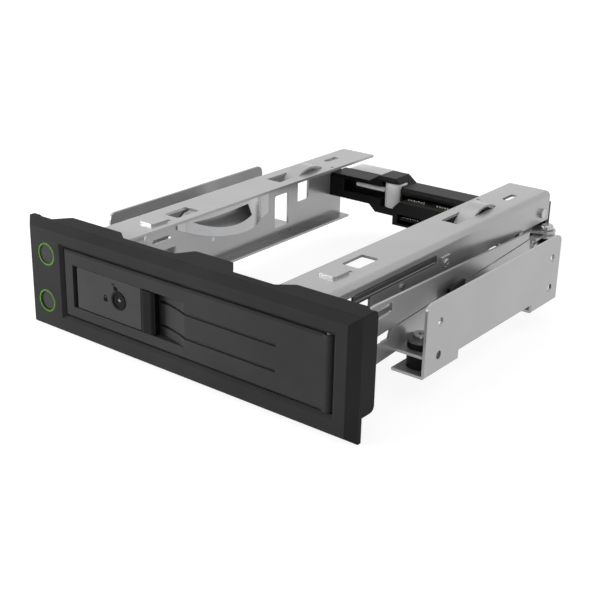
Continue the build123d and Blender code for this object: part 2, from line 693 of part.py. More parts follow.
# Side arm: upright strip from the bezel back to the rail, right side with the crank's lug
guide_y = 80.0
guide_peg_z = 20.6
with BuildPart() as right_side_arm:
    with BuildSketch(beside(wall_inner)):
        patch(at(arm_y_front), at(crank_y - 1.5), arm_low, arm_high)
        patch(at(arm_rear), at(crank_y), lug_high, arm_high + 1, mode=Mode.SUBTRACT)
        with BuildLine():
            Polyline((at(27.4), arm_high + 1), (at(28.6), 20.3), (at(36.4), 20.3),
                     (at(38.2), arm_high + 1), close=True)
        make_face(mode=Mode.SUBTRACT)
    extrude(amount=bay_half - wall_inner)
    with BuildSketch(Plane.XY.offset(arm_low - 1)):
        with BuildLine():
            Polyline((arm_x_front, at(arm_y_front)), (arm_outer(arm_rear), at(arm_rear)),
                     (wall_outer + sheet, at(arm_rear + 4)),
                     (wall_outer + sheet, at(crank_y - 4.5)), (wall_outer, at(crank_y - 4.5)),
                     (wall_outer, at(arm_rear + 3.4)),
                     (arm_outer(arm_rear - 0.6) - sheet, at(arm_rear - 0.6)),
                     (arm_x_front - sheet, at(arm_y_front)), close=True)
        make_face()
        patch(arm_x_front - sheet, arm_tab_reach, at(arm_y_front), at(arm_y_front + sheet))
    extrude(amount=arm_high - arm_low + 2, mode=Mode.INTERSECT)
    # lug under the crank
    with BuildSketch(Plane.XY.offset(lug_high)):
        patch(wall_outer, crank_x, at(crank_y - 8.5), at(crank_y - 1.5))
        with Locations((crank_x, at(crank_y))):
            Circle(3.6)
        patch(wall_outer - 3, wall_outer, at(arm_rear + 2), at(crank_y + 5.5), mode=Mode.SUBTRACT)
    extrude(amount=-sheet)
    # shelf over the front damper
    solid_box((arm_outer(damper_front_y) - 1.2, arm_tab_reach), (41.5, 56.0),
              (arm_low, arm_low + sheet))
    rod(damper_x, damper_front_y, arm_low - 1, arm_low + 2, damper_neck, mode=Mode.SUBTRACT)
    rod(crank_x, crank_y, lug_high - 2, lug_high + 1, crank_pin_radius, mode=Mode.SUBTRACT)
    bolt_along_y(arm_screw_x, arm_screw_z, arm_y_front - 1, arm_y_front + 2, 1.0,
                 mode=Mode.SUBTRACT)
    bolt_along_x(wall_outer - 1, wall_outer + 2, arm_rivet_y, arm_rivet_z, rivet_radius,
                 mode=Mode.SUBTRACT)
    bolt_along_x(arm_outer(guide_y) - 2, arm_outer(guide_y) + 1, guide_y, guide_peg_z,
                 rivet_radius, mode=Mode.SUBTRACT)
save(right_side_arm, "right_side_arm")

with BuildPart() as left_side_arm:
    with BuildSketch(beside(-bay_half)):
        patch(at(arm_y_front), at(left_arm_rear), arm_low, arm_high)
    extrude(amount=bay_half - wall_outer)
    with BuildSketch(Plane.XY.offset(arm_low - 1)):
        with BuildLine():
            Polyline((-arm_x_front, at(arm_y_front)), (-arm_outer(60.0), at(60.0)),
                     (-wall_outer - sheet, at(72.0)), (-wall_outer - sheet, at(left_arm_rear)),
                     (-wall_outer, at(left_arm_rear)), (-wall_outer, at(71.4)),
                     (-arm_outer(59.4) + sheet, at(59.4)),
                     (-arm_x_front + sheet, at(arm_y_front)), close=True)
        make_face()
        patch(-arm_tab_reach, -arm_x_front + sheet, at(arm_y_front), at(arm_y_front + sheet))
    extrude(amount=arm_high - arm_low + 2, mode=Mode.INTERSECT)
    solid_box((-arm_tab_reach, -arm_outer(damper_front_y) + 1.2), (41.5, 56.0),
              (arm_low, arm_low + sheet))
    rod(-damper_x, damper_front_y, arm_low - 1, arm_low + 2, damper_neck, mode=Mode.SUBTRACT)
    bolt_along_y(-arm_screw_x, arm_screw_z, arm_y_front - 1, arm_y_front + 2, 1.0,
                 mode=Mode.SUBTRACT)
    bolt_along_x(-wall_outer - 2, -wall_outer + 1, left_rivet_y, arm_rivet_z, rivet_radius,
                 mode=Mode.SUBTRACT)
save(left_side_arm, "left_side_arm")

# Rear mount tab: angle riveted to the rail over the rear damper
with BuildPart() as right_mount_tab:
    solid_box((wall_outer, wall_outer + sheet), (damper_rear_y - 6, damper_rear_y + 6),
              (rail_low + 0.8, rear_shelf_high))
    solid_box((wall_outer, arm_tab_reach), (damper_rear_y - 6, damper_rear_y + 6),
              (rear_shelf_low, rear_shelf_high))
    rod(damper_x, damper_rear_y, rear_shelf_low - 1, rear_shelf_high + 1, damper_neck,
        mode=Mode.SUBTRACT)
    for rivet_y in tab_rivet_ys:
        bolt_along_x(wall_outer - 1, wall_outer + 2, rivet_y, tab_rivet_z, wall_rivet_radius,
                     mode=Mode.SUBTRACT)
save(right_mount_tab, "right_mount_tab")

with BuildPart() as left_mount_tab:
    mirror(right_mount_tab.part, about=Plane.YZ)
save(left_mount_tab, "left_mount_tab")

# Side bracket that screws to the bay
with BuildPart() as right_side_bracket:
    with BuildSketch(beside(bay_half)):
        rounded_patch(at(bracket_front), at(bracket_rear), bracket_low, bracket_top, 3.0)
        patch(at(bracket_front), at(front_foot_rear), foot_low, bracket_low + 3.5)
        patch(at(rear_foot_front), at(bracket_rear), foot_low, bracket_low + 3.5)
        for side_y in (-1, 1):
            for side_z in (-1, 1):
                with Locations((at(bay_screw_y + side_y * bay_screw_pitch_y / 2),
                                bay_screw_z + side_z * bay_screw_pitch_z / 2)):
                    Circle(bay_screw_radius, mode=Mode.SUBTRACT)
    extrude(amount=-sheet)
    solid_box((bay_half - foot_reach - 1.0, bay_half), (bracket_front, front_foot_rear),
              (foot_low, foot_low + sheet))
    solid_box((bay_half - foot_reach + 0.6, bay_half), (rear_foot_front, bracket_rear),
              (foot_low, foot_low + sheet))
    outer_bends = right_side_bracket.edges().filter_by(Axis.Y).group_by(Axis.X)[-1]
    fillet(outer_bends.sort_by(Axis.Z)[:2], radius=0.9)
    for depth in (damper_front_y, damper_rear_y):
        rod(damper_x, depth, foot_low - 1, foot_low + 2, screw_shank, mode=Mode.SUBTRACT)
save(right_side_bracket, "right_side_bracket")

with BuildPart() as left_side_bracket:
    mirror(right_side_bracket.part, about=Plane.YZ)
save(left_side_bracket, "left_side_bracket")

# Rubber dampers, washers and the screws through them
foot_high = foot_low + sheet
with BuildPart() as front_rubber_dampers:
    for side in (-1, 1):
        rod(side * damper_x, damper_front_y, foot_high, arm_low, damper_radius)
        rod(side * damper_x, damper_front_y, arm_low, arm_low + sheet, damper_neck)
        rod(side * damper_x, damper_front_y, arm_low + sheet, front_damper_high, damper_radius)
        rod(side * damper_x, damper_front_y, foot_high - 1, front_damper_high + 1, screw_shank,
            mode=Mode.SUBTRACT)
save(front_rubber_dampers, "front_rubber_dampers")

with BuildPart() as rear_rubber_dampers:
    for side in (-1, 1):
        rod(side * damper_x, damper_rear_y, foot_high, rear_shelf_low, damper_radius)
        rod(side * damper_x, damper_rear_y, rear_shelf_low, rear_shelf_high, damper_neck)
        rod(side * damper_x, damper_rear_y, rear_shelf_high, rear_damper_high, damper_radius)
        rod(side * damper_x, damper_rear_y, foot_high - 1, rear_damper_high + 1, screw_shank,
            mode=Mode.SUBTRACT)
save(rear_rubber_dampers, "rear_rubber_dampers")

damper_places = ((damper_front_y, front_damper_high), (damper_rear_y, rear_damper_high))
with BuildPart() as damper_washers:
    for side in (-1, 1):
        for depth, top in damper_places:
            rod(side * damper_x, depth, top, top + washer_thickness, damper_radius + 0.2)
            rod(side * damper_x, depth, top - 1, top + 2, screw_shank, mode=Mode.SUBTRACT)
save(damper_washers, "damper_washers")

with BuildPart() as damper_screws:
    for side in (-1, 1):
        for depth, top in damper_places:
            rod(side * damper_x, depth, foot_low, top + washer_thickness + screw_head, screw_shank)
            rod(side * damper_x, depth, top + washer_thickness,
                top + washer_thickness + screw_head, 2.8)
            rod(side * damper_x, depth, top + washer_thickness + screw_head / 2,
                top + washer_thickness + screw_head + 1, 1.1, mode=Mode.SUBTRACT)
save(damper_screws, "damper_screws")

# Small screws: arms and rails to the bezel
with BuildPart() as arm_screws:
    for side in (-1, 1):
        bolt_along_y(side * arm_screw_x, arm_screw_z, arm_y_front - 5, arm_y_front + sheet,
                     1.0)
        bolt_along_y(side * arm_screw_x, arm_screw_z, arm_y_front + sheet,
                     arm_y_front + sheet + 1.3, 1.9)
save(arm_screws, "arm_screws")

with BuildPart() as rail_screws:
    for side in (-1, 1):
        bolt_along_y(side * rail_screw_x, rail_screw_z, rail_front - 4, rail_front + sheet, 1.0)
        bolt_along_y(side * rail_screw_x, rail_screw_z, rail_front + sheet,
                     rail_front + sheet + 0.9, 1.4)
save(rail_screws, "rail_screws")

# Flush rivets through the rail walls
with BuildPart() as wall_rivets:
    head = wall_outer + sheet
    bolt_along_x(wall_inner, head, arm_rivet_y, arm_rivet_z, rivet_radius)
    bolt_along_x(head, head + 0.7, arm_rivet_y, arm_rivet_z, 1.8)
    bolt_along_x(-head, -wall_inner, left_rivet_y, arm_rivet_z, rivet_radius)
    bolt_along_x(-head - 0.7, -head, left_rivet_y, arm_rivet_z, 1.8)
    for side in (-1, 1):
        for rivet_y in tab_rivet_ys:
            near, far = sorted((side * wall_inner, side * head))
            bolt_along_x(near, far, rivet_y, tab_rivet_z, wall_rivet_radius)
            near, far = sorted((side * head, side * (head + 0.6)))
            bolt_along_x(near, far, rivet_y, tab_rivet_z, 1.2)
save(wall_rivets, "wall_rivets")

with BuildPart() as leaf_spring_rivets:
    for side in (-1, 1):
        near, far = sorted((side * (wall_inner - leaf_thickness), side * wall_outer))
        bolt_along_x(near, far, *leaf_rivet, 0.8)
        near, far = sorted((side * wall_outer, side * (wall_outer + 0.6)))
        bolt_along_x(near, far, *leaf_rivet, 1.4)
save(leaf_spring_rivets, "leaf_spring_rivets")

# Ejector link: upright web beside the rail, eye at the door end, flat tab at the crank end
with BuildPart() as eject_link:
    with BuildSketch(beside(wall_outer)):
        with BuildLine():
            Polyline((at(link_front), link_low), (at(link_rear), link_low),
                     (at(link_rear), link_tail_low + 2), (at(88.6), link_front_top - 4.2),
                     (at(27.0), link_front_top), (at(21.0), link_front_top),
                     (at(link_front), link_front_top - 4), close=True)
        make_face()
        rounded_patch(at(28.4), at(37.4), link_front_top - 5.5, link_front_top - 2, 0.6,
                      mode=Mode.SUBTRACT)
    extrude(amount=20)
    with BuildSketch(Plane.XY.offset(link_low - 1)):
        with BuildLine():
            Polyline((arm_outer(link_front - 1), at(link_front - 1)),
                     (arm_outer(link_rear + 1), at(link_rear + 1)),
                     (arm_outer(link_rear + 1) - sheet, at(link_rear + 1)),
                     (arm_outer(link_front - 1) - sheet, at(link_front - 1)), close=True)
        make_face()
    extrude(amount=15, mode=Mode.INTERSECT)
    # eye at the door end
    with BuildSketch(Plane.XY.offset(eye_low)):
        with BuildLine():
            Polyline((pin_x - 1.8, at(pin_y)), (pin_x + 1.6, at(pin_y)), (pin_x + 1.6, at(11.6)),
                     (arm_outer(link_front + 1) - 0.4, at(link_front + 1)),
                     (arm_outer(25.0) - 0.4, at(25.0)), (pin_x - 1.8, at(17.0)), close=True)
        make_face()
        with Locations((pin_x, at(pin_y))):
            Circle(eye_radius)
    extrude(amount=eye_high - eye_low)
    rod(pin_x, pin_y, eye_low - 1, eye_high + 1, rivet_radius + running_clearance,
        mode=Mode.SUBTRACT)
    # flat tab at the crank end
    with BuildSketch(Plane.XY.offset(link_tail_low)):
        with BuildLine():
            bend = link_rear - 11
            Polyline((arm_outer(bend) - 0.4, at(bend)), (arm_outer(link_rear) - 0.4, at(link_rear)),
                     (crank_pin_x + 4.8, at(crank_y - 2.9)), (crank_pin_x + 1.8, at(crank_y + 2.8)),
                     (crank_pin_x - 2.6, at(crank_y + 1.9)), (crank_pin_x - 3.4, at(crank_y - 1.9)),
                     (crank_pin_x + 3.6, at(crank_y - 10.5)), close=True)
        make_face()
        with Locations((crank_pin_x, at(crank_y))):
            Circle(3.4)
    extrude(amount=tail_thickness)
    rod(crank_pin_x, crank_y, link_tail_low - 1, link_tail_low + 3, open_pivot_radius,
        mode=Mode.SUBTRACT)
save(eject_link, "eject_link")

# Bracket on the door's rear that pulls the link
with BuildPart() as hinge_arm:
    solid_box((pin_x - 9.1, pin_x - 2.7), (door_skin_rear, door_skin_rear + sheet),
              (hinge_arm_low - 8.4, hinge_arm_low + 3))
    with BuildSketch(Plane.XY.offset(hinge_arm_low)):
        with BuildLine():
            Polyline((pin_x - 8.5, at(door_skin_rear)), (pin_x - 2.7, at(door_skin_rear)),
                     (pin_x + 0.9, at(pin_y - 1.9)), (pin_x - 1.0, at(pin_y + 1.8)),
                     (pin_x - 8.5, at(door_skin_rear + 1.6)), close=True)
        make_face()
        with Locations((pin_x, at(pin_y))):
            Circle(2.0)
    extrude(amount=1.2)
    rod(pin_x, pin_y, hinge_arm_low - 1, hinge_arm_low + 3, rivet_radius, mode=Mode.SUBTRACT)
    for rivet_z in hinge_rivet_zs:
        bolt_along_y(pin_x - 5.9, rivet_z, 1, door_skin_rear + 2, 0.9, mode=Mode.SUBTRACT)
save(hinge_arm, "hinge_arm")

with BuildPart() as hinge_arm_rivets:
    for rivet_z in hinge_rivet_zs:
        bolt_along_y(pin_x - 5.9, rivet_z, door_skin_rear, door_skin_rear + sheet + 0.6, 0.9)
        bolt_along_y(pin_x - 5.9, rivet_z, door_skin_rear + sheet, door_skin_rear + sheet + 0.6, 1.5)
save(hinge_arm_rivets, "hinge_arm_rivets")

with BuildPart() as link_pin:
    rod(pin_x, pin_y, eye_low - 0.5, hinge_arm_low + 1.2, rivet_radius)
    rod(pin_x, pin_y, hinge_arm_low + 1.2, hinge_arm_low + 1.8, 1.6)
save(link_pin, "link_pin")

# Ejector crank, its pivot, bush and pin
with BuildPart() as eject_crank:
    with BuildSketch(Plane.XY.offset(crank_low)):
        with BuildLine():
            Polyline((crank_x, at(crank_y - 3.5)), (crank_pin_x + 2, at(crank_y - 7.6)),
                     (crank_nose_x - 0.4, at(crank_y - 7.6)), (crank_nose_x - 2.0, at(crank_y - 6)),
                     (crank_nose_x - 2.4, at(crank_y)), (crank_nose_x, at(crank_y + 2.4)),
                     (crank_x, at(crank_y + 3.5)), close=True)
        make_face()
        with Locations((crank_x, at(crank_y))):
            Circle(3.5)
        with Locations((crank_nose_x, at(crank_y))):
            Circle(2.4)
        with Locations((crank_x, at(crank_y))):
            Circle(crank_pin_radius + running_clearance, mode=Mode.SUBTRACT)
        with Locations((crank_pin_x, at(crank_y))):
            Circle(rivet_radius, mode=Mode.SUBTRACT)
    extrude(amount=crank_thickness)
save(eject_crank, "eject_crank")

with BuildPart() as crank_pin:
    rod(crank_pin_x, crank_y, crank_low, link_tail_low + tail_thickness + 0.9, rivet_radius)
    rod(crank_pin_x, crank_y, link_tail_low + tail_thickness + 0.2,
        link_tail_low + tail_thickness + 0.9, 2.6)
save(crank_pin, "crank_pin")

with BuildPart() as crank_bush:
    rod(crank_x, crank_y, bush_low, lug_high - sheet, bush_radius)
    rod(crank_x, crank_y, bush_low - 1, lug_high, crank_pin_radius, mode=Mode.SUBTRACT)
save(crank_bush, "crank_bush")

with BuildPart() as crank_pivot:
    rod(crank_x, crank_y, bush_low - 0.8, bush_low, bush_radius)
    rod(crank_x, crank_y, bush_low, crank_low + crank_thickness + 0.2, crank_pin_radius)
    rod(crank_x, crank_y, lug_high, crank_low - 0.2, bush_radius)
    rod(crank_x, crank_y, crank_low + crank_thickness + 0.2, crank_low + 3.1, 2.6)
    top_rim = crank_pivot.faces().sort_by(Axis.Z)[-1].edges()
    fillet(top_rim, radius=0.8)
save(crank_pivot, "crank_pivot")

# Nylon guide pegged to the right arm, with a lip that keeps the link upright
with BuildPart() as link_guide:
    for inner, outer, low, high in ((0.0, 1.0, 18.6, 23.0), (0.0, 2.4, 22.0, 23.0),
                                    (1.4, 2.4, 22.0, 26.4)):
        with BuildSketch(Plane.XY.offset(low)):
            with BuildLine():
                front, rear = guide_y - 6, guide_y + 6
                Polyline((arm_outer(front) + inner, at(front)), (arm_outer(front) + outer, at(front)),
                         (arm_outer(rear) + outer, at(rear)), (arm_outer(rear) + inner, at(rear)),
                         close=True)
            make_face()
        extrude(amount=high - low)
    bolt_along_x(arm_outer(guide_y) - sheet - 0.1, arm_outer(guide_y) + 0.5, guide_y, guide_peg_z,
                 rivet_radius)
save(link_guide, "link_guide")

# Rear bar across the back of the bay, humped over the capacitor
lug_left = wall_inner - 5.4
lug_top = rail_top - 5.3
capacitor_room = capacitor_radius + 0.2
with BuildPart() as rear_bar:
    with BuildSketch(across(bar_front)):
        with BuildLine():
            Polyline((-wall_inner, bar_low_left), (capacitor_x - 11.1, bar_low_left),
                     (capacitor_x - 7.8, 15.6), (capacitor_x + 3.0, 15.6),
                     (capacitor_x + 6.2, bar_low_right), (wall_inner, bar_low_right),
                     (wall_inner, lug_top), (lug_left, lug_top), (lug_left, bar_top),
                     (capacitor_x + 5.6, bar_top), (capacitor_x + 1.4, hump_top),
                     (capacitor_x - 7.0, hump_top), (capacitor_x - 12.5, bar_top),
                     (-wall_inner, bar_top), close=True)
        make_face()
    extrude(amount=bar_front - bar_rear)
    front_face = rear_bar.faces().sort_by(Axis.Y)[0]
    top_edges = front_face.edges().filter_by_position(Axis.Z, bar_top - 0.1, hump_top + 0.1)
    chamfer(top_edges.filter_by_position(Axis.X, -wall_inner + 1, lug_left - 1), length=bar_edge)
    # deep slot at the left of the front face, open to the capacitor's room
    solid_box((capacitor_x - 24.9, capacitor_x), (bar_front - 1, bar_front + 4), (22.2, 27.6),
              mode=Mode.SUBTRACT)
    # room for the capacitor
    room_high = capacitor_low + capacitor_height + 0.3
    rod(capacitor_x, capacitor_y, capacitor_low, room_high, capacitor_room, mode=Mode.SUBTRACT)
    solid_box((capacitor_x - capacitor_room, capacitor_x + capacitor_room),
              (bar_front - 1, capacitor_y), (capacitor_low, room_high), mode=Mode.SUBTRACT)
    # room for the crank and the link's tail
    solid_box((wall_inner - 15.8, wall_inner + 1), (bar_front - 1, bar_rear - 3.6), (22.4, 28.2),
              mode=Mode.SUBTRACT)
    # seat for the board, open at the rear, and window for the connector in front
    solid_box((board_left - 0.4, board_right + 0.4), (board_seat, bar_rear + 1), (19.8, 27.6),
              mode=Mode.SUBTRACT)
    solid_box((connector_left, connector_left + connector_width), (bar_front - 4, bar_rear + 1),
              (connector_low, connector_high), mode=Mode.SUBTRACT)
    for screw_y, screw_z in right_bar_screws:
        bolt_along_x(wall_inner - 4, wall_inner + 1, screw_y, screw_z, 1.0, mode=Mode.SUBTRACT)
    for screw_y, screw_z in left_bar_screws:
        bolt_along_x(-wall_inner - 1, -wall_inner + 4, screw_y, screw_z, 1.0, mode=Mode.SUBTRACT)
    for screw_x in backplane_screw_x:
        bolt_along_y(screw_x, board_screw_z, board_seat - 3.4, board_seat + 1, 0.9,
                     mode=Mode.SUBTRACT)
save(rear_bar, "rear_bar")

with BuildPart() as bar_screws:
    for (screw_y, screw_z), head_height, head_radius in zip(right_bar_screws, (1.2, 0.5),
                                                            (1.9, 1.5)):
        bolt_along_x(wall_inner - 3.5, wall_outer, screw_y, screw_z, 1.0)
        bolt_along_x(wall_outer, wall_outer + head_height, screw_y, screw_z, head_radius)
    for screw_y, screw_z in left_bar_screws:
        bolt_along_x(-wall_outer, -wall_inner + 3.5, screw_y, screw_z, 1.0)
        bolt_along_x(-wall_outer - 1.2, -wall_outer, screw_y, screw_z, 1.9)
save(bar_screws, "bar_screws")

with BuildPart() as buffer_capacitor:
    rod(capacitor_x, capacitor_y, capacitor_low, capacitor_low + capacitor_height,
        capacitor_radius)
    fillet(buffer_capacitor.faces().sort_by(Axis.Z)[-1].edges(), radius=0.5)
save(buffer_capacitor, "buffer_capacitor")

# Light strip that runs from the slot to the capacitor
with BuildPart() as capacitor_lead:
    bolt_along_x(capacitor_x - 19.0, capacitor_x - capacitor_radius, bar_front + 2.2, lead_z,
                 lead_radius)
    rod(capacitor_x, capacitor_y, capacitor_low, capacitor_low + capacitor_height,
        capacitor_radius, mode=Mode.SUBTRACT)
save(capacitor_lead, "capacitor_lead")

# Board in the bar's rear seat
with BuildPart() as backplane_board:
    solid_box((board_left, board_right), (board_seat, board_rear), (20.2, 27.2))
    for screw_x in backplane_screw_x:
        bolt_along_y(screw_x, board_screw_z, board_seat - 1, board_seat + 3, 0.9,
                     mode=Mode.SUBTRACT)
save(backplane_board, "backplane_board")

with BuildPart() as backplane_screws:
    for screw_x in backplane_screw_x:
        bolt_along_y(screw_x, board_screw_z, board_seat - 3.4, board_rear, 0.9)
        bolt_along_y(screw_x, board_screw_z, board_rear, board_rear + 1.0, 1.7)
save(backplane_screws, "backplane_screws")

# Connector block that the drive plugs onto, with a tongue of contacts in each socket
socket_low = connector_bottom + 1.0
socket_high = socket_low + 4.2
tongue_z = socket_low + 1.5
tongue_thickness = 1.2
tongues = ((connector_left + 3.2, 10.4), (connector_left + 17.4, 20.6))
with BuildPart() as drive_connector:
    with BuildSketch(across(connector_front)):
        patch(connector_left, connector_left + connector_width, connector_bottom, connector_top)
        chamfer(vertices().group_by(Axis.X)[0].sort_by(Axis.Y)[-1], length=connector_corner)
    extrude(amount=connector_front - bar_front)
    solid_box((connector_left + connector_corner, connector_left + connector_width),
              (bar_front, board_seat), (connector_low, connector_top))
    for tongue_x, tongue_length in tongues:
        solid_box((tongue_x - 0.8, tongue_x + tongue_length + 0.8),
                  (connector_front - 1, connector_front + 5.0),
                  (socket_low, socket_high), mode=Mode.SUBTRACT)
        solid_box((tongue_x, tongue_x + tongue_length),
                  (connector_front + 0.8, connector_front + 6.0),
                  (tongue_z, tongue_z + tongue_thickness))
save(drive_connector, "drive_connector")

# Contacts: a blade on the tongue and a tail on top of the block for each
with BuildPart() as drive_contacts:
    for (tongue_x, tongue_length), count in zip(tongues, (7, 15)):
        for i in range(count):
            contact_x = tongue_x + 1.4 + i * contact_pitch
            solid_box((contact_x - 0.4, contact_x + 0.4),
                      (connector_front + 1.2, connector_front + 5.0),
                      (tongue_z + tongue_thickness, tongue_z + tongue_thickness + 0.2))
            solid_box((contact_x - 0.35, contact_x + 0.35),
                      (connector_front + 5.2, bar_front + 1.0), (connector_top, connector_top + 0.3))
save(drive_contacts, "drive_contacts")

# Power and data connectors at the rear
power_middle = (power_left + power_right) / 2
pin_z = 23.5
with BuildPart() as power_connector:
    with BuildSketch(across(bar_rear)):
        with BuildLine():
            Polyline((power_left, 18.0), (power_right, 18.0), (power_right, 27.4),
                     (power_right - 1.6, 29.0), (power_left + 1.6, 29.0), (power_left, 27.4),
                     close=True)
        make_face()
    extrude(amount=bar_rear - overall_depth)
    solid_box((power_left + 2.6, power_right - 2.6), (board_rear, bar_rear), (20.4, 27.0))
    with BuildSketch(across(bar_rear + 1.8)):
        with BuildLine():
            Polyline((power_left + 1.3, 19.3), (power_right - 1.3, 19.3),
                     (power_right - 1.3, 26.9), (power_right - 2.4, 27.7),
                     (power_left + 2.4, 27.7), (power_left + 1.3, 26.9), close=True)
        make_face()
    extrude(amount=bar_rear + 1.8 - overall_depth, mode=Mode.SUBTRACT)
    for i in range(4):
        bolt_along_y(power_middle + (i - 1.5) * power_pitch, pin_z,
                     board_rear - 1, bar_rear + 3, 1.0, mode=Mode.SUBTRACT)
save(power_connector, "power_connector")

with BuildPart() as power_pins:
    for i in range(4):
        bolt_along_y(power_middle + (i - 1.5) * power_pitch, pin_z,
                     board_rear, bar_rear + 5.4, 1.0)
save(power_pins, "power_pins")

with BuildPart() as data_connector:
    data_left = connector_left + 21.3
    solid_box((data_left, data_left + 16.8), (board_rear, bar_rear + 6), (20.4, 26.8))
    solid_box((data_left + 1.6, data_left + 15.2), (bar_rear + 2, bar_rear + 7), (21.8, 25.4),
              mode=Mode.SUBTRACT)
    solid_box((data_left + 3, data_left + 13.6), (bar_rear + 1.5, bar_rear + 5.4), (23.0, 24.1))
save(data_connector, "data_connector")
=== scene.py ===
import bpy
import bmesh
import json
from math import cos, pi, radians, sin
from mathutils import Matrix, Vector


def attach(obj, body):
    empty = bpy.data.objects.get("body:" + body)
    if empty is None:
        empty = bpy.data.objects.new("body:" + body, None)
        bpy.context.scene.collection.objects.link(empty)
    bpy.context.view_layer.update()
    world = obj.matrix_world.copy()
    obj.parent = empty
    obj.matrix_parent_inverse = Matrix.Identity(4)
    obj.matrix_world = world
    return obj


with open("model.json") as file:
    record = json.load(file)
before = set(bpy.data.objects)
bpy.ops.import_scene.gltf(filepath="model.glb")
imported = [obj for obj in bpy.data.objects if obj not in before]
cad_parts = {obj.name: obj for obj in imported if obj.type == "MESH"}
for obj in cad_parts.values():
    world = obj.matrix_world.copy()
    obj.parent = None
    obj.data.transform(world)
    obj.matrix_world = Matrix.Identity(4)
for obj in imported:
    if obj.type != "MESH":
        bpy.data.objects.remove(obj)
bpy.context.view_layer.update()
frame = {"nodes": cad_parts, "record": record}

MM = 0.001
OVERALL_DEPTH = 180.0


def place(x, depth, z):
    """The frame's point for x, the depth behind the bezel's face and z, all in mm."""
    return Vector((x * MM, (depth - OVERALL_DEPTH / 2) * MM, z * MM))


# Materials, with lengths in metres and texture scales per metre


def new_material(name):
    """Material with nothing but its shader: the material, its node tree and the shader."""
    mat = bpy.data.materials.new(name)
    mat.use_nodes = True
    tree = mat.node_tree
    tree.nodes.clear()
    out = tree.nodes.new("ShaderNodeOutputMaterial")
    shader = tree.nodes.new("ShaderNodeBsdfPrincipled")
    tree.links.new(shader.outputs["BSDF"], out.inputs["Surface"])
    return mat, tree, shader


def coordinates(tree, scale=(1.0, 1.0, 1.0)):
    """The object's own coordinates, scaled along each axis."""
    coord = tree.nodes.new("ShaderNodeTexCoord")
    mapping = tree.nodes.new("ShaderNodeMapping")
    mapping.inputs["Scale"].default_value = scale
    tree.links.new(coord.outputs["Object"], mapping.inputs["Vector"])
    return mapping.outputs["Vector"]


def noise(tree, vector, scale, detail=3.0, rough=0.55):
    """Noise texture, as a value between 0 and 1."""
    node = tree.nodes.new("ShaderNodeTexNoise")
    node.inputs["Scale"].default_value = scale
    node.inputs["Detail"].default_value = detail
    node.inputs["Roughness"].default_value = rough
    tree.links.new(vector, node.inputs["Vector"])
    return node.outputs["Fac"]


def spread(tree, value, low, high, start=0.3, end=0.7):
    """Maps start..end onto low..high, clamped."""
    node = tree.nodes.new("ShaderNodeMapRange")
    node.inputs["From Min"].default_value = start
    node.inputs["From Max"].default_value = end
    node.inputs["To Min"].default_value = low
    node.inputs["To Max"].default_value = high
    tree.links.new(value, node.inputs["Value"])
    return node.outputs["Result"]


def mix_colors(tree, factor, first, second, blend="MIX"):
    """Mixes two colours; each is an (r, g, b) tuple or an output of another node."""
    node = tree.nodes.new("ShaderNodeMix")
    node.data_type = "RGBA"
    node.blend_type = blend
    for socket, color in (("A", first), ("B", second)):
        if isinstance(color, tuple):
            node.inputs[socket].default_value = (*color, 1)
        else:
            tree.links.new(color, node.inputs[socket])
    tree.links.new(factor, node.inputs["Factor"])
    return node.outputs["Result"]


def scaled(color, factor):
    """The colour times a factor, no channel above 1."""
    return tuple(min(1.0, channel * factor) for channel in color)


def edge_mask(tree, radius):
    """A mask, 1 along sharp edges and 0 on flats, and the normal rounded over the edges."""
    bevel = tree.nodes.new("ShaderNodeBevel")
    bevel.samples = 4
    bevel.inputs["Radius"].default_value = radius
    geometry = tree.nodes.new("ShaderNodeNewGeometry")
    dot = tree.nodes.new("ShaderNodeVectorMath")
    dot.operation = "DOT_PRODUCT"
    tree.links.new(bevel.outputs["Normal"], dot.inputs[0])
    tree.links.new(geometry.outputs["Normal"], dot.inputs[1])
    return spread(tree, dot.outputs["Value"], 1.0, 0.0, 0.75, 0.99), bevel.outputs["Normal"]


def bump(tree, height, strength, distance, normal=None):
    """Normal of a surface raised by height times distance."""
    node = tree.nodes.new("ShaderNodeBump")
    node.inputs["Strength"].default_value = strength
    node.inputs["Distance"].default_value = distance
    tree.links.new(height, node.inputs["Height"])
    if normal is not None:
        tree.links.new(normal, node.inputs["Normal"])
    return node.outputs["Normal"]


def plastic(name, color, rough, grain=2600.0, depth=0.00003, highlight_lift=1.35, spec=0.08):
    """Moulded plastic: fine grain, faint blotches, and a painted highlight that lightens the
    colour along the edges.
    """
    mat, tree, shader = new_material(name)
    vector = coordinates(tree)
    fine = noise(tree, vector, grain, 2.0, 0.6)
    blotches = spread(tree, noise(tree, vector, 38.0), 0.0, 1.0)
    edge_highlight, rounded = edge_mask(tree, 0.00035)
    base = mix_colors(tree, blotches, tuple(c * 0.88 for c in color),
                      tuple(c * 1.1 for c in color))
    # Painted highlight: the colour is lightened along the edges
    tree.links.new(mix_colors(tree, edge_highlight, base, scaled(color, highlight_lift)),
                   shader.inputs["Base Color"])
    tree.links.new(spread(tree, fine, rough - 0.06, rough + 0.06), shader.inputs["Roughness"])
    tree.links.new(bump(tree, fine, 0.35, depth, rounded), shader.inputs["Normal"])
    shader.inputs["Specular IOR Level"].default_value = spec
    return mat


